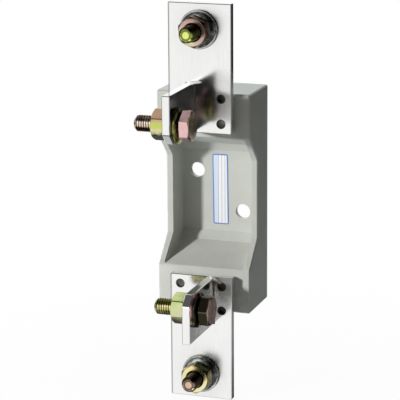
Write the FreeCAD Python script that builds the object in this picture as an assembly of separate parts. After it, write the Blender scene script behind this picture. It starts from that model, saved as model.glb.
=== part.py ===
import FreeCAD
import Part
import math
import os

# Fuse holder with bolted tags, for screwing onto a panel, standing upright. Millimetres.
# +Z runs up the long side, +Y points into the panel, and the front looks along -Y.
# The origin is the middle of the back face, on the panel's surface.
# The lower end is the upper end turned half a turn about the front-to-back line.

V = FreeCAD.Vector
RIGHT = V(1, 0, 0)
LEFT = V(-1, 0, 0)
FRONT = V(0, -1, 0)
BACK = V(0, 1, 0)
UP = V(0, 0, 1)

# Moulded insulating base: two end blocks joined by a lower middle with a recess in it
base_length = 138.0
base_width = 60.0
base_depth = 36.0
edge_chamfer = 0.8

# Recess between the end blocks, open to the front
recess_floor = 3.5
side_wall = 3.5
side_wall_draft = 1.2
mouth_length = 82.8
slope_length = 63.0
slope_depth = 28.5
recess_floor_length = 52.0
recess_corner_radius = 1.5

# Notch that lowers the side walls between the blocks, with 45 degree ends
notch_depth = 16.5

# Hollows in the back of each end block
cell_wall = 4.0
cell_front_wall = 6.0
cell_middle_rib = 4.0
cell_corner_radius = 2.0
boss_diameter = 12.0
boss_height = 8.0
gusset = 3.0

# Two holes in the recess floor, on one diagonal, for the panel screws
mounting_spacing_x = 30.0
mounting_spacing_z = 25.0
mounting_hole = 9.5

# Terminal plates: flat copper bar on a low raised pad
plate_width = 40.0
plate_thickness = 5.0
plate_length = 79.2
plate_inner_end = 45.2
plate_edge = 0.4
pad_height = 1.0
pad_margin = 1.0
terminal_hole = 11.0
terminal_hole_inset = 15.8
screw_hole = 5.4
screw_spacing_x = 27.0
screw_row_inset = 6.0
screw_row_spacing = 15.5

# Contact blades: flat bar brazed edge-on to the front of each plate
blade_thickness = 5.0
blade_depth = 44.5
blade_width = 30.0
blade_setback = 0.5
blade_corner = 6.4
blade_face_offset = 3.25
fuse_hole = 11.0
fuse_hole_from_front = 11.0
fuse_hole_from_inner = 10.6

# M10 bolts and nuts, and their washers; the spring washers are pressed flat by the nuts
thread = 10.0
nut_clearance = 0.05
across_flats = 17.0
head_height = 6.4
nut_height = 8.4
bolt_length = 30.0
corner_cut = 1.2
corner_angle = 30.0
washer_hole = 10.5
spring_washer_outer = 23.0
spring_washer_thickness = 2.8
terminal_washer_outer = 24.0
terminal_washer_thickness = 2.0
terminal_nut_turn_upper = 38.0
terminal_nut_turn_lower = 33.0
fuse_washer_outer = 22.0
fuse_washer_thickness = 1.5
fuse_head_turn_upper = 26.0
fuse_head_turn_lower = 8.0
fuse_nut_turn_upper = 30.0
fuse_nut_turn_lower = 40.0

# M5 screws that hold the plates, driven from the back of the base
screw_thread = 5.0
screw_clearance_hole = 5.5
screw_across_flats = 8.0
screw_head_height = 3.5
screw_corner_cut = 0.5
screw_tip_recess = 1.0

# Places worked out from the sizes above
block_front = -base_depth
plate_back = block_front - pad_height
plate_front = plate_back - plate_thickness
blade_front = plate_front - blade_depth
plate_outer_end = plate_inner_end + plate_length
terminal_z = plate_outer_end - terminal_hole_inset
screw_z = plate_inner_end + screw_row_inset
spare_hole_z = screw_z + screw_row_spacing
blade_inner = plate_inner_end + blade_setback
fuse_z = blade_inner + fuse_hole_from_inner
fuse_y = blade_front + fuse_hole_from_front
cell_front = block_front + cell_front_wall
boss_seat = cell_front + boss_height

# How far a cutting shape runs past the face it cuts, and how close two places count as one
THROUGH = 5.0
CLOSE = 1e-6


def turned(shape):
    """A copy turned half a turn about the front-to-back line, for the lower end."""
    copy = shape.copy()
    copy.rotate(V(0, 0, 0), BACK, 180)
    return copy


def side_profile(points, x_from, x_to):
    """A prism across the width, from (y, z) points of its side view."""
    corners = [V(x_from, y, z) for y, z in points]
    face = Part.Face(Part.makePolygon(corners + corners[:1]))
    return face.extrude(V(x_to - x_from, 0, 0))


def box_between(x_pair, y_pair, z_pair):
    size = [high - low for low, high in (x_pair, y_pair, z_pair)]
    return Part.makeBox(*size, V(x_pair[0], y_pair[0], z_pair[0]))


def rod(diameter, start, axis, length):
    return Part.makeCylinder(diameter / 2, length, start, axis)


def annulus(outer, inner, start, axis, thickness):
    ring = rod(outer, start, axis, thickness)
    return ring.cut(rod(inner, start, axis, thickness))


def pick_edges(shape, wanted):
    """The edges whose both ends and middle pass the test."""
    chosen = []
    for edge in shape.Edges:
        middle = edge.valueAt((edge.FirstParameter + edge.LastParameter) / 2)
        points = [vertex.Point for vertex in edge.Vertexes] + [middle]
        if all(wanted(point) for point in points):
            chosen.append(edge)
    return chosen


def near(value, target):
    return abs(value - target) < CLOSE


def all_at_y(edge, y):
    return all(near(vertex.Point.y, y) for vertex in edge.Vertexes)


def along_x(axis):
    return near(abs(axis.x), 1)


def slope_z(y):
    """Half length of the recess at depth y on its sloping end walls."""
    share = (y - block_front) / slope_depth
    return mouth_length / 2 + (slope_length - mouth_length) / 2 * share


def base_block():
    """Side view of the base, with the notch between the blocks, its outer edges broken."""
    half = base_length / 2
    mouth = mouth_length / 2
    outline = [
        (0, -half),
        (0, half),
        (block_front, half),
        (block_front, mouth),
        (block_front + notch_depth, mouth - notch_depth),
        (block_front + notch_depth, notch_depth - mouth),
        (block_front, -mouth),
        (block_front, -half),
    ]
    block = side_profile(outline, -base_width / 2, base_width / 2)
    outer = pick_edges(block, lambda p: p.y < -CLOSE or abs(p.z) > half - CLOSE)
    return block.makeChamfer(edge_chamfer, [edge for edge in outer if not all_at_y(edge, 0)])


def recess():
    """The hollow between the blocks: sloping ends, a short steeper foot and drafted sides."""
    foot_y = block_front + slope_depth
    floor_y = -recess_floor
    above = block_front - THROUGH
    outline = [
        (above, slope_z(above)),
        (foot_y, slope_length / 2),
        (floor_y, recess_floor_length / 2),
        (floor_y, -recess_floor_length / 2),
        (foot_y, -slope_length / 2),
        (above, -slope_z(above)),
    ]
    lengthwise = side_profile(outline, -base_width, base_width)
    lip_x = base_width / 2 - side_wall
    floor_x = lip_x - side_wall_draft
    growth = side_wall_draft * THROUGH / (base_depth - recess_floor)
    plan = [
        V(-lip_x - growth, above, -base_length),
        V(lip_x + growth, above, -base_length),
        V(floor_x, floor_y, -base_length),
        V(-floor_x, floor_y, -base_length),
    ]
    crosswise = Part.Face(Part.makePolygon(plan + plan[:1])).extrude(V(0, 0, 2 * base_length))
    hollow = lengthwise.common(crosswise)
    corners = pick_edges(hollow, lambda p: abs(p.x) > floor_x - CLOSE)
    corners = [edge for edge in corners if not all_at_y(edge, above)]
    return hollow.makeFillet(recess_corner_radius, corners)


def back_cell():
    """One of the two hollows in the back of the upper block, right of the middle rib."""
    inner = slope_z(cell_front) + cell_wall
    at_back = slope_z(THROUGH) + cell_wall
    outer = base_length / 2 - cell_wall
    outline = [
        (cell_front, inner),
        (cell_front, outer),
        (THROUGH, outer),
        (THROUGH, at_back),
    ]
    cell = side_profile(outline, cell_middle_rib / 2, base_width / 2 - cell_wall)
    flat = (cell_front, THROUGH)
    corners = [edge for edge in cell.Edges if not any(all_at_y(edge, y) for y in flat)]
    return cell.makeFillet(cell_corner_radius, corners)


def screw_tower():
    """Boss for one plate screw, with a low gusset across its cell."""
    x = screw_spacing_x / 2
    start = V(x, cell_front, screw_z)
    boss = rod(boss_diameter, start, BACK, boss_height)
    web = box_between(
        (cell_middle_rib / 2, base_width / 2 - cell_wall),
        (cell_front, boss_seat),
        (screw_z - gusset / 2, screw_z + gusset / 2),
    )
    return boss.fuse(web)


def across(shape):
    """The shape and its mirror image on the left of the middle plane."""
    return [shape, shape.mirror(V(0, 0, 0), RIGHT)]


def both_ends(shapes):
    return list(shapes) + [turned(shape) for shape in shapes]


def pad():
    """Raised seat under the upper plate."""
    half = plate_width / 2 - pad_margin
    return box_between(
        (-half, half),
        (plate_back, block_front + THROUGH),
        (plate_inner_end + pad_margin, base_length / 2 - pad_margin),
    )


def insulating_base():
    body = base_block().cut(recess())
    body = body.cut(both_ends(across(back_cell())))
    body = body.fuse(both_ends(across(screw_tower())))
    body = body.fuse(both_ends([pad()]))
    screw_start = V(screw_spacing_x / 2, plate_back - THROUGH, screw_z)
    screw_way = rod(screw_clearance_hole, screw_start, BACK, boss_seat - plate_back + 2 * THROUGH)
    body = body.cut(both_ends(across(screw_way)))
    hole_start = V(-mounting_spacing_x / 2, -recess_floor - THROUGH, mounting_spacing_z / 2)
    mounting_way = rod(mounting_hole, hole_start, BACK, recess_floor + 2 * THROUGH)
    return body.cut(both_ends([mounting_way])).removeSplitter()


def terminal_plate():
    """Upper plate, with its terminal hole and its four small holes."""
    half = plate_width / 2
    bar = box_between((-half, half), (plate_front, plate_back), (plate_inner_end, plate_outer_end))
    bar = bar.makeChamfer(plate_edge, bar.Edges)
    start = V(0, plate_front - THROUGH, terminal_z)
    reach = plate_thickness + 2 * THROUGH
    bar = bar.cut(rod(terminal_hole, start, BACK, reach))
    for z in (screw_z, spare_hole_z):
        hole = rod(screw_hole, V(screw_spacing_x / 2, plate_front - THROUGH, z), BACK, reach)
        bar = bar.cut(across(hole))
    return bar


def contact_blade():
    """Upper blade, with its clipped front inner corner; the fuse tag lies on its right face."""
    foot = plate_front
    top = blade_inner + blade_width
    outline = [
        (foot, blade_inner),
        (foot, top),
        (blade_front, top),
        (blade_front, blade_inner + blade_corner),
        (blade_front + blade_corner, blade_inner),
    ]
    face_x = -blade_face_offset
    blade = side_profile(outline, face_x - blade_thickness, face_x)
    blade = blade.makeChamfer(plate_edge, [edge for edge in blade.Edges if not all_at_y(edge, foot)])
    start = V(face_x - blade_thickness - THROUGH, fuse_y, fuse_z)
    return blade.cut(rod(fuse_hole, start, RIGHT, blade_thickness + 2 * THROUGH))


def hexagon(start, axis, flats, height, turn):
    """Hexagon bar piece along axis; turn is a corner's angle from across."""
    across_dir = FRONT if along_x(axis) else RIGHT
    radius = flats / math.sqrt(3)
    corners = []
    for index in range(6):
        angle = math.radians(turn + 60 * index)
        corners.append(start + across_dir * (radius * math.cos(angle)) + UP * (radius * math.sin(angle)))
    return Part.Face(Part.makePolygon(corners + corners[:1])).extrude(axis * height)


def cut_corners(piece, centre, outward, cut):
    """The hexagon with its six corners sloped off at the end that faces outward."""
    drop = cut * math.tan(math.radians(corner_angle))
    tips = [v.Point for v in piece.Vertexes if near((v.Point - centre).dot(outward), 0)]
    for tip in tips:
        away = (tip - centre).normalize()
        side = outward.cross(away) * across_flats
        slope = [tip - away * cut, tip - outward * drop, tip - outward * drop + away, tip + outward + away]
        slope.append(tip - away * cut + outward)
        wedge = Part.Face(Part.makePolygon([p - side for p in slope] + [slope[0] - side]))
        piece = piece.cut(wedge.extrude(side * 2))
    return piece


def hex_bolt(seat, axis, flats, head, shank, length, turn, cut):
    """Bolt whose head lies behind seat, with its shank along axis."""
    top = seat - axis * head
    block = cut_corners(hexagon(top, axis, flats, head, turn), top, axis * -1, cut)
    return block.fuse(rod(shank, seat, axis, length)).removeSplitter()


def hex_nut(seat, axis, turn):
    body = hexagon(seat, axis, across_flats, nut_height, turn)
    body = cut_corners(body, seat, axis * -1, corner_cut)
    body = cut_corners(body, seat + axis * nut_height, axis, corner_cut)
    return body.cut(rod(thread + 2 * nut_clearance, seat, axis, nut_height))


def washer(outer, seat, axis, thickness):
    return annulus(outer, washer_hole, seat, axis, thickness)


def plate_screw(x, z):
    """Hexagon screw with its head on a boss and its end just inside the plate's tapped hole."""
    seat = V(x, boss_seat, z)
    length = boss_seat - (plate_front + screw_tip_recess)
    return hex_bolt(
        seat, FRONT, screw_across_flats, screw_head_height, screw_thread, length, 0, screw_corner_cut
    )


def plate_screws():
    places = [(x * screw_spacing_x / 2, z * screw_z) for z in (1, -1) for x in (-1, 1)]
    return Part.Compound([plate_screw(x, z) for x, z in places])


def m10_bolt(seat, axis, turn):
    return hex_bolt(seat, axis, across_flats, head_height, thread, bolt_length, turn, corner_cut)


def terminal_bolt(end, turn):
    """Bolt through the plate from behind, with thread to spare for a cable lug."""
    return m10_bolt(V(0, plate_back, end * terminal_z), FRONT, turn)


def terminal_set(end, turn):
    """Flat washer, spring washer and nut of one end, on the front of the plate."""
    washer_seat = V(0, plate_front, end * terminal_z)
    spring_seat = washer_seat + FRONT * terminal_washer_thickness
    nut_seat = spring_seat + FRONT * spring_washer_thickness
    return {
        "terminal_washer": washer(terminal_washer_outer, washer_seat, FRONT, terminal_washer_thickness),
        "terminal_spring_washer": washer(
            spring_washer_outer, spring_seat, FRONT, spring_washer_thickness
        ),
        "terminal_nut": hex_nut(nut_seat, FRONT, turn),
    }


def fuse_set(end, head_turn, nut_turn):
    """Fuse bolt, its washers and nut of one end; the head is always on the right."""
    right_face = -blade_face_offset if end > 0 else blade_face_offset + blade_thickness
    washer_seat = V(right_face, fuse_y, end * fuse_z)
    spring_seat = washer_seat + RIGHT * fuse_washer_thickness
    head_seat = spring_seat + RIGHT * spring_washer_thickness
    nut_seat = washer_seat + LEFT * blade_thickness
    return {
        "fuse_bolt": m10_bolt(head_seat, LEFT, head_turn),
        "fuse_washer": washer(fuse_washer_outer, washer_seat, RIGHT, fuse_washer_thickness),
        "fuse_spring_washer": washer(
            spring_washer_outer, spring_seat, RIGHT, spring_washer_thickness
        ),
        "fuse_nut": hex_nut(nut_seat, LEFT, nut_turn),
    }


def build():
    """Every piece by its name."""
    parts = {"insulating_base": insulating_base()}
    plate = terminal_plate()
    blade = contact_blade()
    parts["upper_terminal_plate"] = plate
    parts["lower_terminal_plate"] = turned(plate)
    parts["upper_contact_blade"] = blade
    parts["lower_contact_blade"] = turned(blade)
    parts["plate_screws"] = plate_screws()
    parts["terminal_bolts"] = Part.Compound(
        [terminal_bolt(1, terminal_nut_turn_upper), terminal_bolt(-1, terminal_nut_turn_lower)]
    )
    ends = (
        ("upper", 1, terminal_nut_turn_upper, fuse_head_turn_upper, fuse_nut_turn_upper),
        ("lower", -1, terminal_nut_turn_lower, fuse_head_turn_lower, fuse_nut_turn_lower),
    )
    for name, end, terminal_turn, head_turn, nut_turn in ends:
        pieces = {**terminal_set(end, terminal_turn), **fuse_set(end, head_turn, nut_turn)}
        for piece, shape in pieces.items():
            parts[name + "_" + piece] = shape
    return parts


os.makedirs("parts", exist_ok=True)
for node, shape in build().items():
    shape.exportStep("parts/" + node + ".step")
    print(node, len(shape.Solids), shape.isValid(), round(shape.Volume, 1))
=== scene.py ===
import math

import bmesh
import bpy
from mathutils import Matrix, Vector, noise


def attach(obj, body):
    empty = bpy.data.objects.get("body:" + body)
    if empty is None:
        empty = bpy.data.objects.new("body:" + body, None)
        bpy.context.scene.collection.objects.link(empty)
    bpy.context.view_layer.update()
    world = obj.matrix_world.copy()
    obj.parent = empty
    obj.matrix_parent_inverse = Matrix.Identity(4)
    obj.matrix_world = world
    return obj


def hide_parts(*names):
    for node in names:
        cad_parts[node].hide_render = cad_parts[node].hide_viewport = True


# A moulded fuse base with its copper bars, contact blades and M10 fastenings, seen as it stands
# on its panel. Metres. The bars and blades keep their CAD solids; the base, the fastenings and
# the label are modelled here over the solids they stand for.

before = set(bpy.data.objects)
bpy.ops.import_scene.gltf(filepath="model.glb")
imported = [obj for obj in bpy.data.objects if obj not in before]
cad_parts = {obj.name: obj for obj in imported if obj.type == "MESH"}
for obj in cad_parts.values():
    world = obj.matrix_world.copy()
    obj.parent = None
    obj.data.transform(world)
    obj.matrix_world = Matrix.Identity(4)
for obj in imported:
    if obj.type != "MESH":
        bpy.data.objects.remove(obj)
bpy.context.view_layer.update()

MM = 0.001
RIGHT = Vector((1, 0, 0))
LEFT = Vector((-1, 0, 0))
FRONT = Vector((0, -1, 0))
UP = Vector((0, 0, 1))
UPPER, LOWER = 1, -1

# Where the fastenings stand, as in the source of the solids
BLOCK_FRONT = -36 * MM
FLOOR_FRONT = -3.5 * MM
PLATE_BACK = -37 * MM
PLATE_FRONT = -42 * MM
BLADE_INNER = 45.7 * MM
BLADE_OUTER = 75.7 * MM
BLADE_NEAR = 3.25 * MM
BLADE_FAR = 8.25 * MM
FUSE_Y = -75.5 * MM
FUSE_Z = 56.3 * MM
TERMINAL_Z = 108.6 * MM
SCREW_X = 13.5 * MM
SCREW_Z = 51.2 * MM
SPARE_HOLE_Z = 66.7 * MM
SCREW_SEAT = -22 * MM
FLOOR_LEVEL = -124.6 * MM

# Fastening sizes: M10 bolts and nuts, M5 plate screws, and the washers' thicknesses and radii
BOLT_LENGTH = 30 * MM
ACROSS_FLATS = 17 * MM
THREAD_PITCH = 1.5 * MM
THREAD_CREST = 4.98 * MM
THREAD_ROOT = 4.15 * MM
HEXAGON_BEVEL = 0.12 * MM
SCREW_LENGTH = 19 * MM
SCREW_FLATS = 8 * MM
SCREW_PITCH = 0.8 * MM
SCREW_CREST = 2.48 * MM
SCREW_ROOT = 2.1 * MM
FUSE_WASHER = 1.5 * MM
FUSE_WASHER_RADIUS = 11 * MM
SPRING_WASHER = 2.8 * MM
TERMINAL_WASHER = 2.0 * MM
TERMINAL_WASHER_RADIUS = 12 * MM

# How far the terminal nuts and their bolts' heads stand turned, in degrees
UPPER_TERMINAL_TURN = 38
LOWER_TERMINAL_TURN = 33


# How the shapes are made


def start_at(seat, axis):
    """A frame whose z runs along the piece's axis from its seat."""
    across = FRONT if abs(axis.x) > 0.5 else RIGHT
    side = axis.cross(across)
    turn = Matrix((across, side, axis)).transposed().to_4x4()
    return Matrix.Translation(seat) @ turn


def finished(bm, name, materials, body="root", stands_for=(), sharp=25, bevel=0):
    """The bmesh as a smooth piece on its body, with its edges softened."""
    bmesh.ops.recalc_face_normals(bm, faces=bm.faces)
    mesh = bpy.data.meshes.new(name)
    bm.to_mesh(mesh)
    bm.free()
    piece = bpy.data.objects.new(name, mesh)
    bpy.context.scene.collection.objects.link(piece)
    for material in materials:
        mesh.materials.append(material)
    mesh.shade_smooth()
    mesh.set_sharp_from_angle(angle=math.radians(sharp))
    if bevel:
        soft = piece.modifiers.new("broken edges", "BEVEL")
        soft.width = bevel
        soft.segments = 2
        soft.limit_method = "ANGLE"
        soft.angle_limit = math.radians(sharp)
        soft.harden_normals = True
    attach(piece, body)
    if stands_for:
        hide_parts(*stands_for)
    return piece


def outline(bm, points):
    """Joined points in the x-z plane, ready to be spun about z."""
    verts = [bm.verts.new((x, 0, z)) for x, z in points]
    edges = [bm.edges.new(pair) for pair in zip(verts, verts[1:])]
    return verts + edges


def turned(points, steps):
    """A piece turned on a lathe: its section, in millimetres, spun once about z."""
    bm = bmesh.new()
    section = outline(bm, [(x * MM, z * MM) for x, z in points])
    bmesh.ops.spin(bm, geom=section, axis=UP, angle=2 * math.pi, steps=steps, use_merge=True)
    bmesh.ops.remove_doubles(bm, verts=bm.verts, dist=1e-7)
    return bm


def cut_away(bm, point, outward):
    """Takes off everything beyond a plane, and closes the cut."""
    everything = bm.verts[:] + bm.edges[:] + bm.faces[:]
    cut = bmesh.ops.bisect_plane(
        bm, geom=everything, plane_co=point, plane_no=outward, dist=1e-8, clear_outer=True
    )["geom_cut"]
    rim = [e for e in cut if isinstance(e, bmesh.types.BMEdge) and e.is_boundary]
    bmesh.ops.holes_fill(bm, edges=rim, sides=0)


def hexagon(bm, flats, turn):
    """Mills six flats on a turned piece, with a corner at turn from the first axis."""
    for side in range(6):
        angle = math.radians(turn + 30 + 60 * side)
        outward = Vector((math.cos(angle), math.sin(angle), 0))
        cut_away(bm, outward * flats / 2, outward)
    return bm


def rope_of_thread(bm, low, high, tip, crest, root, pitch, sides):
    """A right-handed thread between two heights, its free end chamfered to radius tip."""
    section = [
        (root, 0),
        (root, 0.1 * pitch),
        (crest - 0.12 * MM, 0.32 * pitch),
        (crest, 0.4 * pitch),
        (crest, 0.7 * pitch),
        (crest - 0.12 * MM, 0.78 * pitch),
        (root, 0.98 * pitch),
        (root, pitch),
    ]
    turns = math.ceil((high - low) / pitch) + 2
    geometry = outline(bm, [(x, z + low - pitch) for x, z in section])
    bmesh.ops.spin(
        bm,
        geom=geometry,
        axis=UP,
        angle=2 * math.pi * turns,
        steps=sides * turns,
        dvec=(0, 0, pitch / sides),
    )
    bmesh.ops.remove_doubles(bm, verts=bm.verts, dist=1e-6)
    cut_away(bm, UP * (high - 0.3 * MM), UP)
    cut_away(bm, UP * low, -UP)
    for vert in bm.verts:
        limit = tip + max(high - vert.co.z, 0)
        radius = math.hypot(vert.co.x, vert.co.y)
        if radius > limit:
            vert.co.x *= limit / radius
            vert.co.y *= limit / radius
    # the end is slightly crowned
    end = max(bm.faces, key=lambda face: face.calc_center_median().z)
    bmesh.ops.poke(bm, faces=[end], offset=0.3 * MM)


def joined(*parts):
    """Several closed bmeshes in one, the first takes the others."""
    whole = parts[0]
    for other in parts[1:]:
        carrier = bpy.data.meshes.new("carrier")
        other.to_mesh(carrier)
        other.free()
        whole.from_mesh(carrier)
        bpy.data.meshes.remove(carrier)
    return whole


def hexagon_bolt(turn):
    """M10 bolt threaded to its head: z 0 is under the head and the thread runs up."""
    crown = [(0, -6.4), (8.1, -6.4), (9.6, -5.53), (9.6, -0.45), (0, -0.45)]
    head = hexagon(turned(crown, 72), ACROSS_FLATS, turn)
    face = turned([(0, -0.6), (7.8, -0.6), (7.8, 0), (0, 0)], 48)
    shank = bmesh.new()
    rope_of_thread(
        shank,
        low=-1 * MM,
        high=BOLT_LENGTH,
        tip=3.05 * MM,
        crest=THREAD_CREST,
        root=THREAD_ROOT,
        pitch=THREAD_PITCH,
        sides=24,
    )
    for thread_face in shank.faces:
        thread_face.material_index = 1
    return joined(head, face, shank)


def hexagon_nut(turn):
    """M10 nut with both ends crowned and the mouth of its thread opened out."""
    section = [
        (5.03, 1.0),
        (5.9, 0),
        (8.25, 0),
        (9.6, 0.78),
        (9.6, 7.62),
        (8.25, 8.4),
        (5.9, 8.4),
        (5.03, 7.4),
        (5.03, 1.0),
    ]
    return hexagon(turned(section, 72), ACROSS_FLATS, turn)


def flat_washer(radius, thickness):
    """Stamped washer: rounded rim on the punched side, inner hole clear of the bolt."""
    outer, thickness = radius / MM, thickness / MM
    section = [
        (5.3, 0.1),
        (5.4, 0),
        (outer - 0.15, 0),
        (outer, 0.15),
        (outer, thickness - 0.4),
        (outer - 0.1, thickness - 0.15),
        (outer - 0.3, thickness),
        (5.5, thickness),
        (5.3, thickness - 0.2),
        (5.3, 0.1),
    ]
    return turned(section, 72)


def coned_washer(teeth=0):
    """Spring washer, pressed nearly flat: a shallow cone, with ribs pressed across its face."""
    section = [
        (5.4, 0.95),
        (10.75, 0),
        (10.9, 0.15),
        (10.9, 0.75),
        (10.7, 0.95),
        (8.6, 1.75),
        (6.8, 2.4),
        (5.6, 2.75),
        (5.4, 2.5),
        (5.4, 0.95),
    ]
    bm = turned(section, teeth * 2 if teeth else 72)
    if not teeth:
        return bm
    for vert in bm.verts:
        radius = math.hypot(vert.co.x, vert.co.y)
        ridge = round(math.atan2(vert.co.y, vert.co.x) / math.pi * teeth) % 2
        if 8 * MM < radius < 10.8 * MM and vert.co.z > 0.85 * MM:
            vert.co.z += 0.06 * MM if ridge else -0.06 * MM
    return bm


# Colours and finishes


def colour(code):
    """An sRGB hex colour as linear RGBA."""
    parts = [int(code[i : i + 2], 16) / 255 for i in (1, 3, 5)]
    return [p / 12.92 if p <= 0.04045 else ((p + 0.055) / 1.055) ** 2.4 for p in parts] + [1]


def node(tree, kind, values=None, links=None, stops=None, **settings):
    """Adds a node with its settings, its socket values, its links and its colour stops."""
    made = tree.nodes.new(kind)
    for key, value in settings.items():
        setattr(made, key, value)
    for key, value in (values or {}).items():
        made.inputs[key].default_value = value
    for key, source in (links or {}).items():
        tree.links.new(source, made.inputs[key])
    if stops:
        ramp = made.color_ramp.elements
        while len(ramp) < len(stops):
            ramp.new(0.5)
        for element, (place, code) in zip(ramp, stops):
            element.position = place
            element.color = colour(code)
    return made


def new_finish(name, **sockets):
    """An empty material with its shader, and the shader's plain values."""
    material = bpy.data.materials.new(name)
    material.use_nodes = True
    tree = material.node_tree
    tree.nodes.clear()
    shader = node(tree, "ShaderNodeBsdfPrincipled", sockets)
    node(tree, "ShaderNodeOutputMaterial", links={"Surface": shader.outputs["BSDF"]})
    where = node(tree, "ShaderNodeTexCoord").outputs["Object"]
    return material, tree, shader, where


def moulded_polyester():
    """Glass-filled polyester moulding: warm grey, satin, faint flow clouds and a fine grain."""
    material, tree, shader, where = new_finish("glass-filled polyester moulding", IOR=1.5)
    # clouds about 15 mm across where the resin flowed, and the grain of the chopped glass under
    # the skin, drawn 0.5 mm across, twice as coarse as it is, so that it shows
    clouds = node(tree, "ShaderNodeTexNoise", {"Scale": 65.0, "Detail": 3.0}, {"Vector": where})
    grain = node(tree, "ShaderNodeTexNoise", {"Scale": 2000.0, "Detail": 1.0}, {"Vector": where})
    base = node(
        tree,
        "ShaderNodeValToRGB",
        links={"Fac": clouds.outputs["Fac"]},
        stops=[(0.3, "#C2C4BE"), (0.7, "#C9CBC6")],
    )
    fibre = node(
        tree,
        "ShaderNodeValToRGB",
        links={"Fac": grain.outputs["Fac"]},
        stops=[(0.35, "#F6F6F3"), (0.6, "#FFFFFF")],
    )
    flecked = node(
        tree,
        "ShaderNodeMix",
        {0: 1.0},
        {6: base.outputs["Color"], 7: fibre.outputs["Color"]},
        data_type="RGBA",
        blend_type="MULTIPLY",
    )
    gloss = node(
        tree,
        "ShaderNodeMapRange",
        {"To Min": 0.42, "To Max": 0.56},
        {"Value": clouds.outputs["Fac"]},
    )
    skin = node(
        tree,
        "ShaderNodeBump",
        {"Strength": 0.15, "Distance": 0.00002},
        {"Height": grain.outputs["Fac"]},
    )
    tree.links.new(flecked.outputs[2], shader.inputs["Base Color"])
    tree.links.new(gloss.outputs["Result"], shader.inputs["Roughness"])
    tree.links.new(skin.outputs["Normal"], shader.inputs["Normal"])
    return material


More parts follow.
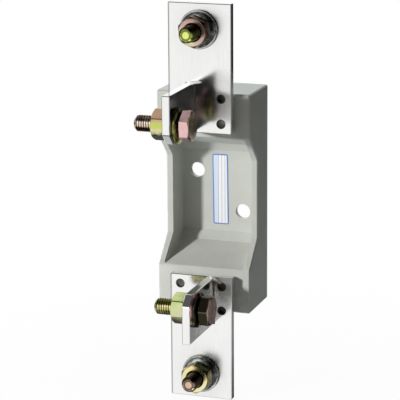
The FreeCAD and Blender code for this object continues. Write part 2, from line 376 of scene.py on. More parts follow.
def tinned_copper(name, rough, brushing, holes=None):
    """Copper bar with bright tin plate: nearly white metal, finely brushed along its length."""
    material, tree, shader, where = new_finish(name, Metallic=1.0)
    # brush lines along the bar's length, drawn 0.3 mm apart where the real ones are 0.05 mm, so
    # that they show, and clouds 20 mm across in the tin
    lie = node(tree, "ShaderNodeMapping", {"Scale": (3000, 3000, 60)}, {"Vector": where})
    lines = node(
        tree, "ShaderNodeTexNoise", {"Scale": 1.0, "Detail": 3.0}, {"Vector": lie.outputs["Vector"]}
    )
    clouds = node(tree, "ShaderNodeTexNoise", {"Scale": 50.0, "Detail": 4.0}, {"Vector": where})
    tin = node(
        tree,
        "ShaderNodeValToRGB",
        links={"Fac": lines.outputs["Fac"]},
        stops=[(0.3, "#EEEEED"), (0.6, "#F4F4F3")],
    )
    gloss = node(
        tree,
        "ShaderNodeMapRange",
        {"From Min": 0.3, "From Max": 0.7, "To Min": rough - 0.03, "To Max": rough + 0.05},
        {"Value": clouds.outputs["Fac"]},
    )
    brushed = node(
        tree,
        "ShaderNodeBump",
        {"Strength": brushing, "Distance": 0.00002},
        {"Height": lines.outputs["Fac"]},
    )
    tree.links.new(tin.outputs["Color"], shader.inputs["Base Color"])
    tree.links.new(gloss.outputs["Result"], shader.inputs["Roughness"])
    tree.links.new(brushed.outputs["Normal"], shader.inputs["Normal"])
    if not holes:
        return material
    # distances from the hole axes and from the lug's seat, folded left over right and up over down
    folded = node(tree, "ShaderNodeVectorMath", links={0: where}, operation="ABSOLUTE")
    level = node(
        tree, "ShaderNodeVectorMath", {1: (1, 0, 1)}, {0: folded.outputs[0]}, operation="MULTIPLY"
    )
    near_one, near_other, lug = [
        node(
            tree,
            "ShaderNodeVectorMath",
            {1: (x, 0, z)},
            {0: level.outputs[0]},
            operation="DISTANCE",
        )
        for x, z in holes + [(0, TERMINAL_Z)]
    ]
    nearest = node(
        tree,
        "ShaderNodeMath",
        links={0: near_one.outputs["Value"], 1: near_other.outputs["Value"]},
        operation="MINIMUM",
    )
    # the tin is rubbed dull where a cable lug sits, and matt and whitish to the right of each
    # blade, where a spanner turns the bolt's head
    apart = node(tree, "ShaderNodeSeparateXYZ", links={0: where})
    spanner_side = node(
        tree,
        "ShaderNodeMapRange",
        {"From Min": 8 * MM, "From Max": 15 * MM},
        {"Value": apart.outputs["X"]},
        interpolation_type="SMOOTHSTEP",
    )
    windows = []
    for ends in (((50, 58), (86, 74)), ((-62, -55), (-30, -35))):
        foot, head = [
            node(
                tree,
                "ShaderNodeMapRange",
                {"From Min": start * MM, "From Max": end * MM},
                {"Value": apart.outputs["Z"]},
            )
            for start, end in ends
        ]
        window = node(
            tree,
            "ShaderNodeMath",
            links={0: foot.outputs["Result"], 1: head.outputs["Result"]},
            operation="MULTIPLY",
        )
        windows.append(window.outputs["Value"])
    spanner_height = node(
        tree, "ShaderNodeMath", links={0: windows[0], 1: windows[1]}, operation="MAXIMUM"
    )
    rubbed = node(
        tree,
        "ShaderNodeMath",
        links={0: spanner_side.outputs["Result"], 1: spanner_height.outputs["Value"]},
        operation="MULTIPLY",
    )
    # most of it above the upper bolt, where the hand rests the spanner
    higher = node(
        tree,
        "ShaderNodeMapRange",
        {"From Min": 62 * MM, "From Max": 70 * MM, "To Min": 0.25, "To Max": 1.0},
        {"Value": apart.outputs["Z"]},
    )
    share = node(
        tree,
        "ShaderNodeMath",
        links={0: rubbed.outputs["Value"], 1: higher.outputs["Result"]},
        operation="MULTIPLY",
    )
    matt = node(
        tree,
        "ShaderNodeMapRange",
        {"To Min": 1.0, "To Max": 0.3},
        {"Value": share.outputs["Value"]},
    )
    tree.links.new(matt.outputs["Result"], shader.inputs["Metallic"])
    beside = node(
        tree, "ShaderNodeMath", {1: 0.24}, {0: rubbed.outputs["Value"]}, operation="MULTIPLY"
    )
    seated = node(
        tree,
        "ShaderNodeMapRange",
        {"From Min": 14 * MM, "From Max": 24 * MM, "To Min": 0.12, "To Max": 0.0},
        {"Value": lug.outputs["Value"]},
    )
    worn = node(
        tree,
        "ShaderNodeMath",
        links={0: beside.outputs["Value"], 1: seated.outputs["Result"]},
        operation="MAXIMUM",
    )
    gloss = node(
        tree,
        "ShaderNodeMath",
        links={0: gloss.outputs["Result"], 1: worn.outputs["Value"]},
        operation="ADD",
    )
    # the tapped holes' walls, and a thin ring round each mouth, are painted dark brown as painted
    # shade, and are made fully rough
    wall = node(
        tree,
        "ShaderNodeMapRange",
        {"From Min": 2.82 * MM, "From Max": 2.95 * MM, "To Min": 1.0, "To Max": 0.0},
        {"Value": nearest.outputs["Value"]},
    )
    hole_walls_painted_shade = node(
        tree,
        "ShaderNodeMix",
        {7: colour("#4A443D")},
        {0: wall.outputs["Result"], 6: tin.outputs["Color"]},
        data_type="RGBA",
    )
    dull = node(
        tree,
        "ShaderNodeMath",
        links={0: gloss.outputs["Value"], 1: wall.outputs["Result"]},
        operation="MAXIMUM",
    )
    # painted shade: a grey band along the bar's left edge stands for the shading of its rounded
    # edge
    rim = node(
        tree,
        "ShaderNodeMapRange",
        {"From Min": -18.7 * MM, "From Max": -19.6 * MM, "To Min": 0.0, "To Max": 0.85},
        {"Value": apart.outputs["X"]},
    )
    left_edge_painted_shade = node(
        tree,
        "ShaderNodeMix",
        {7: colour("#8E8E8C")},
        {0: rim.outputs["Result"], 6: hole_walls_painted_shade.outputs[2]},
        data_type="RGBA",
    )
    tree.links.new(left_edge_painted_shade.outputs[2], shader.inputs["Base Color"])
    tree.links.new(dull.outputs["Value"], shader.inputs["Roughness"])
    return material


def yellow_chromate(name, centre, direction, tints, reach=9.0, wander=0.28, thread=None):
    """Zinc-plated steel dipped in yellow chromate: a thin film over bright metal, whose tint
    drifts over the piece from straw through green to pink, as oil does on water. The tints run
    along the direction through the centre, reach millimetres to each side. On several pieces
    the stops are also painted light: dark stops paint shade on the sides turned from the light,
    and a thread's bright middle stops paint a highlight."""
    material, tree, shader, where = new_finish(name, Metallic=1.0)
    # the film's tint runs from one side of the piece to the other, in clouds about 5 mm across
    away = node(
        tree, "ShaderNodeVectorMath", {1: centre}, {0: where}, operation="SUBTRACT"
    )
    along = node(
        tree,
        "ShaderNodeVectorMath",
        {1: Vector(direction).normalized() / (reach * 2 * MM)},
        {0: away.outputs[0]},
        operation="DOT_PRODUCT",
    )
    drift = node(tree, "ShaderNodeTexNoise", {"Scale": 190.0, "Detail": 2.0}, {"Vector": where})
    spread = node(
        tree,
        "ShaderNodeMapRange",
        {"From Min": 0.3, "From Max": 0.7, "To Min": 0.5 - wander / 2, "To Max": 0.5 + wander / 2},
        {"Value": drift.outputs["Fac"]},
    )
    place = node(
        tree,
        "ShaderNodeMath",
        links={0: along.outputs["Value"], 1: spread.outputs["Result"]},
        operation="ADD",
    )
    film = node(
        tree, "ShaderNodeValToRGB", links={"Fac": place.outputs["Value"]}, stops=tints
    ).outputs["Color"]
    if thread:
        # painted shade darkens the root of the thread, and a painted bright disc, dark ring and
        # light
        #         # ring mark its chamfered end: the film's share goes by the distance from the
        #         bolt's axis,
        #         # which runs through a point. The mask leaves out the axis's own direction, and
        #         crests is the
        #         # film's share on the crests
        point, mask, crests = thread
        folded = node(tree, "ShaderNodeVectorMath", links={0: where}, operation="ABSOLUTE")
        off = node(
            tree,
            "ShaderNodeVectorMath",
            {1: point},
            {0: folded.outputs[0]},
            operation="SUBTRACT",
        )
        level = node(
            tree, "ShaderNodeVectorMath", {1: mask}, {0: off.outputs[0]}, operation="MULTIPLY"
        )
        radius = node(tree, "ShaderNodeVectorMath", links={0: level.outputs[0]}, operation="LENGTH")
        depth = node(
            tree,
            "ShaderNodeMapRange",
            {"From Max": 5 * MM},
            {"Value": radius.outputs["Value"]},
        )
        thread_painted_light_and_shade = node(
            tree,
            "ShaderNodeValToRGB",
            links={"Fac": depth.outputs["Result"]},
            stops=[
                (0.38, "#FFFFFF"),
                (0.47, "#808080"),
                (0.63, "#808080"),
                (0.68, "#F0F0F0"),
                (0.79, "#F0F0F0"),
                (0.83, "#7A7A7A"),
                (0.94, crests),
            ],
        )
        film = node(
            tree,
            "ShaderNodeMix",
            {6: colour("#1E1B12")},
            {0: thread_painted_light_and_shade.outputs["Color"], 7: film},
            data_type="RGBA",
        ).outputs[2]
    tree.links.new(film, shader.inputs["Base Color"])
    # the zinc's own pits, drawn 0.7 mm apart, several times as coarse as they are
    pits = node(tree, "ShaderNodeTexNoise", {"Scale": 1400.0, "Detail": 2.0}, {"Vector": where})
    gloss = node(
        tree,
        "ShaderNodeMapRange",
        {"From Min": 0.3, "From Max": 0.7, "To Min": 0.15, "To Max": 0.3},
        {"Value": drift.outputs["Fac"]},
    )
    tree.links.new(gloss.outputs["Result"], shader.inputs["Roughness"])
    relief = node(
        tree,
        "ShaderNodeBump",
        {"Strength": 0.07, "Distance": 0.00002},
        {"Height": pits.outputs["Fac"]},
    )
    tree.links.new(relief.outputs["Normal"], shader.inputs["Normal"])
    return material


def plated_steel(name, light, dark, rough):
    """Pressed steel under clear-passivated zinc: grey, cloudy, duller in its low places."""
    material, tree, shader, where = new_finish(name, Metallic=1.0)
    # clouds 2.5 mm across, where the plating bath wetted the steel unevenly
    clouds = node(tree, "ShaderNodeTexNoise", {"Scale": 400.0, "Detail": 4.0}, {"Vector": where})
    base = node(
        tree,
        "ShaderNodeValToRGB",
        links={"Fac": clouds.outputs["Fac"]},
        stops=[(0.35, dark), (0.65, light)],
    )
    tree.links.new(base.outputs["Color"], shader.inputs["Base Color"])
    gloss = node(
        tree,
        "ShaderNodeMapRange",
        {"To Min": rough - 0.08, "To Max": rough + 0.1},
        {"Value": clouds.outputs["Fac"]},
    )
    tree.links.new(gloss.outputs["Result"], shader.inputs["Roughness"])
    relief = node(
        tree,
        "ShaderNodeBump",
        {"Strength": 0.06, "Distance": 0.00003},
        {"Height": clouds.outputs["Fac"]},
    )
    tree.links.new(relief.outputs["Normal"], shader.inputs["Normal"])
    return material


def printed_film(name, code, rules=()):
    """Polyester label film: smooth and slightly glossy. Rules are thin lines along its length."""
    material, tree, shader, where = new_finish(name, Roughness=0.32, IOR=1.5)
    # ink that took a little unevenly, in clouds 3 mm across
    tint = node(tree, "ShaderNodeTexNoise", {"Scale": 300.0, "Detail": 2.0}, {"Vector": where})
    ink = node(
        tree,
        "ShaderNodeMix",
        {6: colour(code), 7: [c * 0.94 for c in colour(code)[:3]] + [1]},
        {0: tint.outputs["Fac"]},
        data_type="RGBA",
    )
    across = node(tree, "ShaderNodeSeparateXYZ", links={0: where}).outputs["X"]
    for place, width, line in rules:
        away = node(tree, "ShaderNodeMath", {1: place * MM}, {0: across}, operation="SUBTRACT")
        gap = node(tree, "ShaderNodeMath", links={0: away.outputs["Value"]}, operation="ABSOLUTE")
        inside = node(
            tree,
            "ShaderNodeMath",
            {1: width / 2 * MM},
            {0: gap.outputs["Value"]},
            operation="LESS_THAN",
        )
        ink = node(
            tree,
            "ShaderNodeMix",
            {7: colour(line)},
            {0: inside.outputs["Value"], 6: ink.outputs[2]},
            data_type="RGBA",
        )
    tree.links.new(ink.outputs[2], shader.inputs["Base Color"])
    return material


def glassy_flux():
    """Brazing flux left where the torch started: a white, glassy crust with a few grey specks."""
    material, tree, shader, where = new_finish("brazing flux crust", IOR=1.52)
    # bubbles and specks 0.8 mm across
    specks = node(tree, "ShaderNodeTexNoise", {"Scale": 1250.0, "Detail": 2.0}, {"Vector": where})
    crust = node(
        tree,
        "ShaderNodeValToRGB",
        links={"Fac": specks.outputs["Fac"]},
        stops=[(0.3, "#DCDCD6"), (0.45, "#F4F4F1")],
    )
    glaze = node(
        tree,
        "ShaderNodeMapRange",
        {"To Min": 0.2, "To Max": 0.5},
        {"Value": specks.outputs["Fac"]},
    )
    blisters = node(
        tree,
        "ShaderNodeBump",
        {"Strength": 0.3, "Distance": 0.0001},
        {"Height": specks.outputs["Fac"]},
    )
    tree.links.new(crust.outputs["Color"], shader.inputs["Base Color"])
    tree.links.new(glaze.outputs["Result"], shader.inputs["Roughness"])
    tree.links.new(blisters.outputs["Normal"], shader.inputs["Normal"])
    return material


MOULDING = moulded_polyester()
BAR = tinned_copper(
    "tinned copper bar, brushed along its length",
    rough=0.14,
    brushing=0.06,
    holes=[(SCREW_X, SCREW_Z), (SCREW_X, SPARE_HOLE_Z)],
)
BLADE = tinned_copper(
    "tinned copper blade, brushed along its length", rough=0.1, brushing=0.04
)
GREEN, STRAW, PINK = "#C9D373", "#DDD7A4", "#EAC4C4"
UPPER_FUSE = Vector((0, FUSE_Y, FUSE_Z))
LOWER_FUSE = Vector((0, FUSE_Y, -FUSE_Z))
UPPER_END = Vector((0, -51 * MM, TERMINAL_Z))
LOWER_END = Vector((0, -51 * MM, -TERMINAL_Z))
# each thread mask holds the axis's point, the mask and the film's share on the crests; the terminal
# bolts' grey share is painted shade that darkens their shanks
FUSE_THREAD = (Vector((0, -FUSE_Y, FUSE_Z)), (0, 1, 1), "#FFFFFF")
TERMINAL_THREAD_SHADED = (Vector((0, 0, TERMINAL_Z)), (1, 0, 1), "#606060")
# the upper fuse nut's lowest stop is dark olive: painted shade on its underside
upper_nut_film_shaded_below = yellow_chromate(
    "yellow chromated zinc, upper fuse nut, painted shade below",
    UPPER_FUSE,
    UP,
    [(0.24, "#33341F"), (0.33, STRAW), (0.45, GREEN), (0.7, GREEN), (0.78, "#CFAE8E")],
    wander=0.16,
)
upper_bolt_film = yellow_chromate(
    "yellow chromated zinc, upper fuse bolt",
    UPPER_FUSE,
    RIGHT,
    [(0.55, PINK), (0.665, "#E8BFBC"), (0.7, "#9A9A60")],
    reach=20,
    wander=0.05,
)
# painted highlight and shade: the upper thread's stops are bright across its middle and dark brown
# above and below
upper_thread_painted_light = yellow_chromate(
    "yellow chromated zinc, upper fuse bolt thread",
    UPPER_FUSE,
    UP,
    [(0.32, "#4C3019"), (0.41, "#FFE8CC"), (0.66, "#FFF2E4"), (0.83, "#5E3E20")],
    reach=6,
    wander=0.15,
    thread=FUSE_THREAD,
)
# the lower fuse nut's lowest stop is dark olive: painted shade on its underside
lower_nut_film_shaded_below = yellow_chromate(
    "yellow chromated zinc, lower fuse nut, painted shade below",
    LOWER_FUSE,
    UP,
    [(0.17, "#6E7044"), (0.36, "#D3D3A6"), (0.7, "#D2DBA6"), (0.9, "#C9D592")],
)
# the lower bolt's head flats are dark brown: painted shade; only its end face is light
lower_bolt_film_shaded_head = yellow_chromate(
    "yellow chromated zinc, lower fuse bolt",
    LOWER_FUSE,
    RIGHT,
    [(0.75, "#55503E"), (0.945, "#55503E"), (0.965, "#DDBBAC")],
    reach=20,
    wander=0.02,
)
# painted highlight and shade: the lower thread's stops are bright across its middle and darker
# olive above and below
lower_thread_painted_light = yellow_chromate(
    "yellow chromated zinc, lower fuse bolt thread",
    LOWER_FUSE,
    UP,
    [(0.2, "#7C743A"), (0.42, "#E4DEA0"), (0.62, "#F6F0BC"), (0.82, "#8C863E")],
    reach=6,
    wander=0.15,
    thread=FUSE_THREAD,
)
# the upper terminal nut's stops darken towards its upper right: painted shade on the flanks turned
# from the light
upper_end_film_shaded_right = yellow_chromate(
    "yellow chromated zinc, upper terminal nut",
    UPPER_END,
    (1, 0, 1),
    [(0.15, "#D8D2A6"), (0.3, "#D4BAAC"), (0.6, "#C2A298"), (0.85, "#8F7266")],
)
# the lower terminal nut's top stop is dark olive: painted shade on its upper facets
lower_end_film_shaded_above = yellow_chromate(
    "yellow chromated zinc, lower terminal nut",
    LOWER_END,
    (0.5, 0, 1),
    [(0.1, "#F2ECB8"), (0.4, "#EFECBC"), (0.83, "#FFE9A8"), (0.94, "#70764A")],
    wander=0.1,
)
studs_film = yellow_chromate(
    "yellow chromated zinc, terminal bolts",
    Vector((0, 0, 0)),
    UP,
    [(0.1, "#D2BCA6"), (0.3, PINK), (0.7, STRAW), (0.9, "#CFD38C")],
    reach=110,
    wander=0.1,
)
# the terminal threads carry painted shade on their shanks and roots, and a painted bright disc and
# rings on their ends
stud_threads_painted_light = yellow_chromate(
    "yellow chromated zinc, terminal bolt threads",
    Vector((0, 0, 0)),
    UP,
    [(0.1, "#DDBCA4"), (0.3, PINK), (0.7, STRAW), (0.9, "#E6F486")],
    reach=110,
    wander=0.1,
    thread=TERMINAL_THREAD_SHADED,
)
# the upper fuse washers' films are dark olive: painted shade, darker than the bright plating
upper_washer_films_painted_shade = [
    yellow_chromate(
        "yellow chromated zinc, upper fuse flat washer",
        UPPER_FUSE,
        UP,
        [(0.2, "#5C5A38"), (0.8, "#4A4B30")],
    ),
    yellow_chromate(
        "yellow chromated zinc, upper fuse coned washer",
        UPPER_FUSE,
        UP,
        [(0.3, "#A9A868"), (0.7, "#6E6E44")],
    ),
]
lower_washer_films = [
    yellow_chromate(
        "yellow chromated zinc, lower fuse flat washer",
        LOWER_FUSE,
        UP,
        [(0.3, "#8A7460"), (0.6, "#B99088")],
    ),
    # the coned washer's film is dark brown: painted shade, darker than the bright plating
    yellow_chromate(
        "yellow chromated zinc, lower fuse coned washer",
        LOWER_FUSE,
        UP,
        [(0.3, "#5A5340"), (0.7, "#4B403A")],
    ),
]
WASHER = plated_steel("zinc-plated steel flat washers", "#C4C6C2", "#A4A6A2", 0.2)
RIBBED = plated_steel("zinc-plated spring steel washers", "#C2C4C0", "#9C9E9B", 0.22)
# the plate screws and the bars' tapped threads are painted dark grey: painted shade for the dark
# inside of the holes
SCREW = plated_steel("zinc-plated steel plate screws, painted dark as shade", "#80807D", "#474746", 0.32)
# a pale blue band and plain ruled lines: millimetres across the label, width and ink
FILM = printed_film(
    "white label film, ruled",
    "#F1F2F5",
    [(-2.9, 2.4, "#D3DCF0"), (-1.2, 0.35, "#8F97A8"), (1.1, 0.3, "#A5ABB8"), (3.2, 0.3, "#A5ABB8")],
)
BORDER = printed_film("blue border of the label", "#6382C8")


# The moulded base, and the finish of the bars and blades


def moulded_base():
    """The base's own solid, merged, with the small radii that the mould leaves on every edge."""
    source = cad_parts["insulating_base"]
    bm = bmesh.new()
    bm.from_mesh(source.data)
    bmesh.ops.remove_doubles(bm, verts=bm.verts, dist=1e-6)
    bmesh.ops.dissolve_limit(
        bm, angle_limit=math.radians(0.5), verts=bm.verts, edges=bm.edges, delimit={"NORMAL"}
    )
    return finished(
        bm,
        "moulded_base",
        [MOULDING],
        stands_for=["insulating_base"],
        sharp=28,
        bevel=0.35 * MM,
    )


moulded_base()

for end in ("upper", "lower"):
    for node_name, material in (("_terminal_plate", BAR), ("_contact_blade", BLADE)):
        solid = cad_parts[end + node_name]
        solid.data.materials.clear()
        solid.data.materials.append(material)


# The fastenings


def put(bm, seat, axis):
    """Stands a turned piece on its seat, along its axis."""
    bmesh.ops.transform(bm, matrix=start_at(seat, axis), verts=bm.verts)
    return bm


def fuse_fastening(end, side, seat_x, turns, films, bodies):
    """Bolt from the right through the washers and the blade, with its nut on the left."""
    bolt_body, washer_body, nut_body = bodies
    bolt_films, nut_film, (washer_film, spring_film) = films
    head_turn, nut_turn = turns
    axis_point = Vector((seat_x, FUSE_Y, side * FUSE_Z))
    spring_seat = axis_point + RIGHT * FUSE_WASHER
    head_seat = spring_seat + RIGHT * SPRING_WASHER
    nut_seat = axis_point + LEFT * (BLADE_FAR - BLADE_NEAR)
    finished(
        put(hexagon_bolt(head_turn), head_seat, LEFT),
        end + "_fuse_hexagon_bolt",
        bolt_films,
        bolt_body,
        [end + "_fuse_bolt"],
        bevel=HEXAGON_BEVEL,
    )
    finished(
        put(hexagon_nut(nut_turn), nut_seat, LEFT),
        end + "_fuse_hexagon_nut",
        [nut_film],
        nut_body,
        [end + "_fuse_nut"],
        bevel=HEXAGON_BEVEL,
    )
    finished(
        put(flat_washer(FUSE_WASHER_RADIUS, FUSE_WASHER), axis_point, RIGHT),
        end + "_fuse_flat_washer",
        [washer_film],
        washer_body,
        [end + "_fuse_washer"],
    )
    finished(
        put(coned_washer(), spring_seat, RIGHT),
        end + "_fuse_coned_washer",
        [spring_film],
        washer_body,
        [end + "_fuse_spring_washer"],
    )


# turns are the degrees that the head and the nut stand turned, as in the photo
fuse_fastening(
    "upper",
    UPPER,
    seat_x=-BLADE_NEAR,
    turns=(26, 30),
    films=([upper_bolt_film, upper_thread_painted_light], upper_nut_film_shaded_below, upper_washer_films_painted_shade),
    bodies=("upper_fuse_screw", "upper_fuse_clamp", "root"),
)
fuse_fastening(
    "lower",
    LOWER,
    seat_x=BLADE_FAR,
    turns=(8, 40),
    films=([lower_bolt_film_shaded_head, lower_thread_painted_light], lower_nut_film_shaded_below, lower_washer_films),
    bodies=("lower_fuse_screw", "root", "lower_fuse_clamp"),
)


def terminal_fastening(end, side, turn, film):
    """Nut and washers on the bolt that comes forward through the bar."""
    seat = Vector((0, PLATE_FRONT, side * TERMINAL_Z))
    spring_seat = seat + FRONT * TERMINAL_WASHER
    nut_seat = spring_seat + FRONT * SPRING_WASHER
    finished(
        put(flat_washer(TERMINAL_WASHER_RADIUS, TERMINAL_WASHER), seat, FRONT),
        end + "_terminal_flat_washer",
        [WASHER],
        end + "_terminal_clamp",
        [end + "_terminal_washer"],
    )
    finished(
        put(coned_washer(52), spring_seat, FRONT),
        end + "_terminal_ribbed_washer",
        [RIBBED],
        end + "_terminal_clamp",
        [end + "_terminal_spring_washer"],
    )
    finished(
        put(hexagon_nut(turn), nut_seat, FRONT),
        end + "_terminal_hexagon_nut",
        [film],
        end + "_terminal_turning_nut",
        [end + "_terminal_nut"],
        bevel=HEXAGON_BEVEL,
    )


terminal_fastening("upper", UPPER, UPPER_TERMINAL_TURN, upper_end_film_shaded_right)
terminal_fastening("lower", LOWER, LOWER_TERMINAL_TURN, lower_end_film_shaded_above)
stud_pair = [
    put(hexagon_bolt(turn), Vector((0, PLATE_BACK, side * TERMINAL_Z)), FRONT)
    for side, turn in ((UPPER, UPPER_TERMINAL_TURN), (LOWER, LOWER_TERMINAL_TURN))
]
finished(
    joined(*stud_pair),
    "terminal_hexagon_bolts",
    [studs_film, stud_threads_painted_light],
    "root",
    ["terminal_bolts"],
    bevel=HEXAGON_BEVEL,
)


def plate_screw():
    """M5 screw, driven from behind, whose end shows just inside the bar's tapped hole."""
    crown = [(0, -3.5), (3.8, -3.5), (4.5, -3.1), (4.5, 0), (0, 0)]
    head = hexagon(turned(crown, 48), SCREW_FLATS, 0)
    shank = bmesh.new()
    rope_of_thread(
        shank,
        low=-1 * MM,
        high=SCREW_LENGTH,
        tip=1.9 * MM,
        crest=SCREW_CREST,
        root=SCREW_ROOT,
        pitch=SCREW_PITCH,
        sides=12,
    )
    return joined(head, shank)


def tapped_thread():
    """The thread that is cut in a small hole of a bar: z runs forward through the bar."""
    bm = bmesh.new()
    section = [(2.85, 0), (2.42, 0.28), (2.42, 0.5), (2.85, 0.78), (2.85, 0)]
    geometry = outline(bm, [(x * MM, z * MM - SCREW_PITCH) for x, z in section])
    turns, sides = 8, 24
    bmesh.ops.spin(
        bm,
        geom=geometry,
        axis=UP,
        angle=2 * math.pi * turns,
        steps=sides * turns,
        dvec=UP * SCREW_PITCH / sides,
    )
    bmesh.ops.remove_doubles(bm, verts=bm.verts, dist=1e-6)
    cut_away(bm, UP * 0.1 * MM, -UP)
    cut_away(bm, UP * 4.9 * MM, UP)
    return bm


tapped_holes = [
    put(tapped_thread(), Vector((x * SCREW_X, PLATE_BACK, z)), FRONT)
    for z in (SCREW_Z, SPARE_HOLE_Z, -SCREW_Z, -SPARE_HOLE_Z)
    for x in (-1, 1)
]
finished(joined(*tapped_holes), "tapped_threads_of_bars", [SCREW])
# a low pad of the moulding closes each spare hole from behind
pad = [(0, 0), (3.2, 0), (3.2, 0.9), (0, 0.9)]
pads = [
    put(turned(pad, 24), Vector((x * SCREW_X, BLOCK_FRONT, z)), FRONT)
    for z in (SPARE_HOLE_Z, -SPARE_HOLE_Z)
    for x in (-1, 1)
]
finished(joined(*pads), "pads_behind_spare_holes", [MOULDING])

screws = [
    put(plate_screw(), Vector((x * SCREW_X, SCREW_SEAT, z * SCREW_Z)), FRONT)
    for z in (UPPER, LOWER)
    for x in (-1, 1)
]
finished(joined(*screws), "plate_hexagon_screws", [SCREW], "root", ["plate_screws"])


# Braze along the foot of each blade


def braze_run(corner, way, side):
    """A thin run of braze in one corner between blade and bar: a long block halved corner to
    corner, whose height wanders."""
    bm = bmesh.new()
    bmesh.ops.create_cube(bm, size=1)
    bmesh.ops.translate(bm, verts=bm.verts, vec=(0.5, -0.5, 0.5))
    cut_away(bm, Vector((1, 0, 0)), Vector((1, -1, 0)))
    uprights = [e for e in bm.edges if abs(e.verts[0].co.z - e.verts[1].co.z) > 0.5]
    bmesh.ops.subdivide_edges(bm, edges=uprights, cuts=40)
    # 0.8 mm thick, a few tenths more or less from place to place
    for vert in bm.verts:
        size = (0.8 + 0.35 * noise.noise(Vector((corner * 900, 0, vert.co.z * 12)))) * MM
        vert.co.x = corner + way * vert.co.x * size
        vert.co.y = PLATE_FRONT + vert.co.y * size
        vert.co.z = side * (BLADE_INNER + (BLADE_OUTER - BLADE_INNER) * vert.co.z)
    return bm


def braze_lump(centre, radii, lean):
    """Where the run was started: a lump under white flux, uneven by a few tenths."""
    bm = bmesh.new()
    bmesh.ops.create_icosphere(bm, subdivisions=4, radius=1)
    for vert in bm.verts:
        vert.co *= 1 + 0.3 * noise.noise(vert.co * 1.6 + centre * 900)
    bmesh.ops.scale(bm, verts=bm.verts, vec=[r * MM for r in radii])
    bmesh.ops.rotate(bm, verts=bm.verts, matrix=Matrix.Rotation(math.radians(lean), 3, "Y"))
    bmesh.ops.translate(bm, verts=bm.verts, vec=centre)
    return bm


# the braze runs are painted dark grey: painted shade that dims their bright line along each blade's
# foot
BRAZE_SHADED = plated_steel("silver braze, run down, painted dark as shade", "#6A6A66", "#4A4A46", 0.4)
FLUX = glassy_flux()
for name, right, left, side in (
    ("upper", -BLADE_NEAR, -BLADE_FAR, UPPER),
    ("lower", BLADE_FAR, BLADE_NEAR, LOWER),
):
    runs = joined(braze_run(right, 1, side), braze_run(left, -1, side))
    finished(runs, name + "_blade_braze", [BRAZE_SHADED], sharp=50)
for name, centre, radii, lean in (
    ("upper", Vector((-3.2, -42.4, 75.9)), (4.4, 1.3, 0.9), -10),
    ("lower", Vector((9.8, -42.6, -46.9)), (4.2, 1.0, 0.9), 28),
):
    lump = braze_lump(centre * MM, radii, lean)
    finished(lump, name + "_braze_lump", [FLUX])


# The blank label on the recess floor


def blank_label():
    """Stuck a little askew: a film with rounded corners and a printed blue border."""
    width, height, thickness = 10.2 * MM, 45.4 * MM, 0.12 * MM
    corner, border = 1.1 * MM, 0.75 * MM
    bm = bmesh.new()
    tilt = Matrix.Rotation(math.radians(-0.7), 4, "Y")
    upright = Matrix.Rotation(math.radians(90), 4, "X")
    place = Matrix.Translation((0.3 * MM, FLOOR_FRONT, 0.9 * MM)) @ tilt @ upright
    bmesh.ops.create_grid(bm, x_segments=1, y_segments=1, size=0.5)
    bmesh.ops.scale(bm, vec=(width, height, 1), verts=bm.verts)
    bmesh.ops.bevel(
        bm,
        geom=bm.verts[:],
        offset=corner,
        offset_type="OFFSET",
        affect="VERTICES",
        segments=4,
        profile=0.5,
        material=-1,
    )
    rim = bmesh.ops.inset_region(
        bm, faces=bm.faces[:], use_boundary=True, use_even_offset=True, thickness=border, depth=0
    )["faces"]
    for face in rim:
        face.material_index = 1
    raised = bmesh.ops.extrude_face_region(bm, geom=bm.faces[:])["geom"]
    top = [v for v in raised if isinstance(v, bmesh.types.BMVert)]
    bmesh.ops.translate(bm, verts=top, vec=(0, 0, thickness))
    bmesh.ops.transform(bm, matrix=place, verts=bm.verts)
    return finished(bm, "blank_label", [FILM, BORDER], sharp=40)


blank_label()


# Floor, light and camera


def pale_floor():
    """Plain pale floor, white to the camera apart from a trace of the part's shadow."""
    material = bpy.data.materials.new("pale studio floor")
    material.use_nodes = True
    tree = material.node_tree
    tree.nodes.clear()
    paint = node(tree, "ShaderNodeBsdfDiffuse", {"Color": colour("#CACBCC")})
    white = node(tree, "ShaderNodeEmission", {"Color": (1, 1, 1, 1), "Strength": 1.0})
    where = node(tree, "ShaderNodeTexCoord").outputs["Object"]
    level = node(tree, "ShaderNodeVectorMath", {1: (1, 1, 0)}, {0: where}, operation="MULTIPLY")
    spread = node(tree, "ShaderNodeVectorMath", links={0: level.outputs[0]}, operation="LENGTH")
    fade = node(
        tree,
        "ShaderNodeMapRange",
        {"From Min": 0.06, "From Max": 0.3, "To Min": 0.95, "To Max": 1.0},
        {"Value": spread.outputs["Value"]},
    )
    ray = node(tree, "ShaderNodeLightPath")
    clear = node(
        tree,
        "ShaderNodeMath",
        links={0: ray.outputs["Is Camera Ray"], 1: ray.outputs["Is Transmission Ray"]},
        operation="MAXIMUM",
    )
    share = node(
        tree,
        "ShaderNodeMath",
        links={0: fade.outputs["Result"], 1: clear.outputs["Value"]},
        operation="MULTIPLY",
    )
    both = node(
        tree,
        "ShaderNodeMixShader",
        links={0: share.outputs["Value"], 1: paint.outputs["BSDF"], 2: white.outputs["Emission"]},
    )
    node(tree, "ShaderNodeOutputMaterial", links={"Surface": both.outputs["Shader"]})
    bm = bmesh.new()
    bmesh.ops.create_circle(bm, cap_ends=True, segments=96, radius=0.5)
    bmesh.ops.translate(bm, verts=bm.verts, vec=(0, 0, FLOOR_LEVEL))
    mesh = bpy.data.meshes.new("studio_floor")
    bm.to_mesh(mesh)
    bm.free()
    floor = bpy.data.objects.new("studio_floor", mesh)
    mesh.materials.append(material)
    bpy.context.scene.collection.objects.link(floor)
    floor.visible_glossy = False


pale_floor()


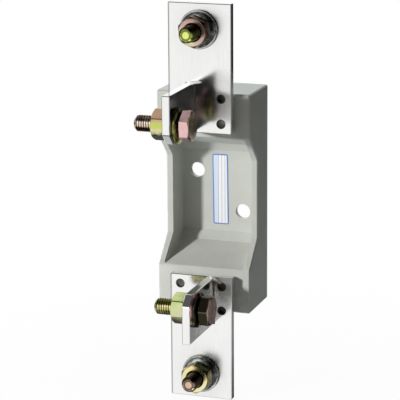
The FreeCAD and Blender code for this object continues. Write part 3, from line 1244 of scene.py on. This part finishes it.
def studio_light():
    """A pale room: bright to the left and in front, dim to the right, white to the camera."""
    world = bpy.data.worlds.new("studio")
    bpy.context.scene.world = world
    world.use_nodes = True
    tree = world.node_tree
    tree.nodes.clear()
    way = node(tree, "ShaderNodeTexCoord").outputs["Generated"]
    parts = node(tree, "ShaderNodeSeparateXYZ", links={0: way})
    ray = node(tree, "ShaderNodeLightPath")
    light = {
        "camera": ray.outputs["Is Camera Ray"],
        "transmission": ray.outputs["Is Transmission Ray"],
    }
    # metal sees a white wall to the left, a dark doorway and then a grey wall to the right; over
    # the camera, low down and at the far left it is dim, and a pale table and the floor show low
    # in front
    for part, axis, start, end, low, high in (
        ("left wall", "X", -0.06, 0.15, 1.0, 0.01),
        ("far corner", "X", -0.9, -0.84, 0.15, 1.0),
        ("right wall", "X", 0.58, 0.9, 0.0, 0.32),
        ("canopy height", "Z", 0.06, 0.4, 0.0, -0.9),
        ("canopy depth", "Y", 0.5, -0.1, 0.0, 1.0),
        ("skirting", "Z", -0.45, -0.75, 1.0, 0.12),
        ("table right", "X", 0.0, 0.2, 0.0, 1.0),
        ("table front", "Y", 0.2, -0.2, 0.32, 1.0),
        ("table far edge", "Z", -0.276, -0.305, 0.0, 0.8),
        ("table near edge", "Z", -0.312, -0.335, 1.0, 0.1),
        ("floor depth", "Z", -0.8, -0.9, 0.0, 0.42),
        ("floor left", "X", -0.08, 0.14, 1.0, 0.0),
        ("soft", "X", -0.6, 0.5, 0.15, 0.045),
    ):
        light[part] = node(
            tree,
            "ShaderNodeMapRange",
            {"From Min": start, "From Max": end, "To Min": low, "To Max": high},
            {"Value": parts.outputs[axis]},
            interpolation_type="SMOOTHSTEP",
        ).outputs["Result"]
    # the key lamp's softbox, and a sheet of paper on the table
    for part, direction, start, strength in (
        ("softbox", (-0.45, -0.81, 0.37), 0.95, 1.6),
        ("paper", (0.4, -0.08, -0.91), 0.96, 2.0),
    ):
        toward = node(
            tree, "ShaderNodeVectorMath", {1: direction}, {0: way}, operation="DOT_PRODUCT"
        )
        light[part] = node(
            tree,
            "ShaderNodeMapRange",
            {"From Min": start, "From Max": 0.99, "To Min": 0.0, "To Max": strength},
            {"Value": toward.outputs["Value"]},
            interpolation_type="SMOOTHSTEP",
        ).outputs["Result"]
    # the third value is for the canopy alone, which takes its share away from full light
    for part, operation, first, second in (
        ("left side", "MULTIPLY", "left wall", "far corner"),
        ("walls", "ADD", "left side", "right wall"),
        ("under canopy", "MULTIPLY_ADD", "canopy height", "canopy depth"),
        ("lit walls", "MULTIPLY", "walls", "under canopy"),
        ("room", "MULTIPLY", "lit walls", "skirting"),
        ("table side", "MULTIPLY", "table right", "table front"),
        ("table strip", "MULTIPLY", "table far edge", "table near edge"),
        ("table", "MULTIPLY", "table side", "table strip"),
        ("floor", "MULTIPLY", "floor depth", "floor left"),
        ("low", "ADD", "table", "floor"),
        ("glints", "ADD", "softbox", "paper"),
        ("furnished", "ADD", "room", "low"),
        ("mirror", "ADD", "furnished", "glints"),
        ("clear", "MAXIMUM", "camera", "transmission"),
    ):
        light[part] = node(
            tree,
            "ShaderNodeMath",
            {2: 1.0},
            {0: light[first], 1: light[second]},
            operation=operation,
        ).outputs["Value"]
    seen = node(
        tree,
        "ShaderNodeMix",
        links={0: ray.outputs["Is Glossy Ray"], 2: light["soft"], 3: light["mirror"]},
        data_type="FLOAT",
    )
    strength = node(
        tree,
        "ShaderNodeMix",
        {3: 1.0},
        {0: light["clear"], 2: seen.outputs[0]},
        data_type="FLOAT",
    )
    # what falls on dull surfaces is a little warm, so that shadows stay olive as in the photo
    tone = node(
        tree,
        "ShaderNodeMix",
        {6: (1, 1, 1, 1), 7: colour("#FFFADE")},
        {0: ray.outputs["Is Diffuse Ray"]},
        data_type="RGBA",
    )
    sky = node(
        tree,
        "ShaderNodeBackground",
        links={"Color": tone.outputs[2], "Strength": strength.outputs[0]},
    )
    node(tree, "ShaderNodeOutputWorld", links={"Surface": sky.outputs["Background"]})


studio_light()


def lamp(name, place, aim, size, power, tint):
    """A round softbox, which metal doesn't show: the room that metal shows has its own."""
    light = bpy.data.lights.new(name, "AREA")
    light.color = colour(tint)[:3]
    light.shape = "DISK"
    light.size = size
    light.energy = power
    holder = bpy.data.objects.new(name, light)
    bpy.context.scene.collection.objects.link(holder)
    holder.location = place
    holder.rotation_euler = (Vector(aim) - Vector(place)).to_track_quat("-Z", "Y").to_euler()
    holder.visible_glossy = False


lamp("soft key from the left", (-0.80, -0.90, 0.27), (0, -0.03, 0), 0.14, 15.3, "#FFFFFF")
lamp("fill from behind", (-0.3, 1.0, 0.9), (0, 0, 0), 0.5, 22, "#F3F8FF")


def photo_camera():
    """Seen from the right and a little above, with the long lens that the photo's lines give."""
    camera = bpy.data.cameras.new("photo camera")
    camera.sensor_width = 36
    camera.lens = 175.55
    camera.clip_end = 20
    holder = bpy.data.objects.new("photo camera", camera)
    bpy.context.scene.collection.objects.link(holder)
    # place and angles as fitted to the corners, holes and edges in the photo
    holder.location = (0.38016, -1.13626, 0.29546)
    holder.rotation_euler = [math.radians(a) for a in (75.83342, 0.35803, 19.07564)]
    bpy.context.scene.camera = holder


photo_camera()
bpy.context.scene.view_settings.view_transform = "Standard"
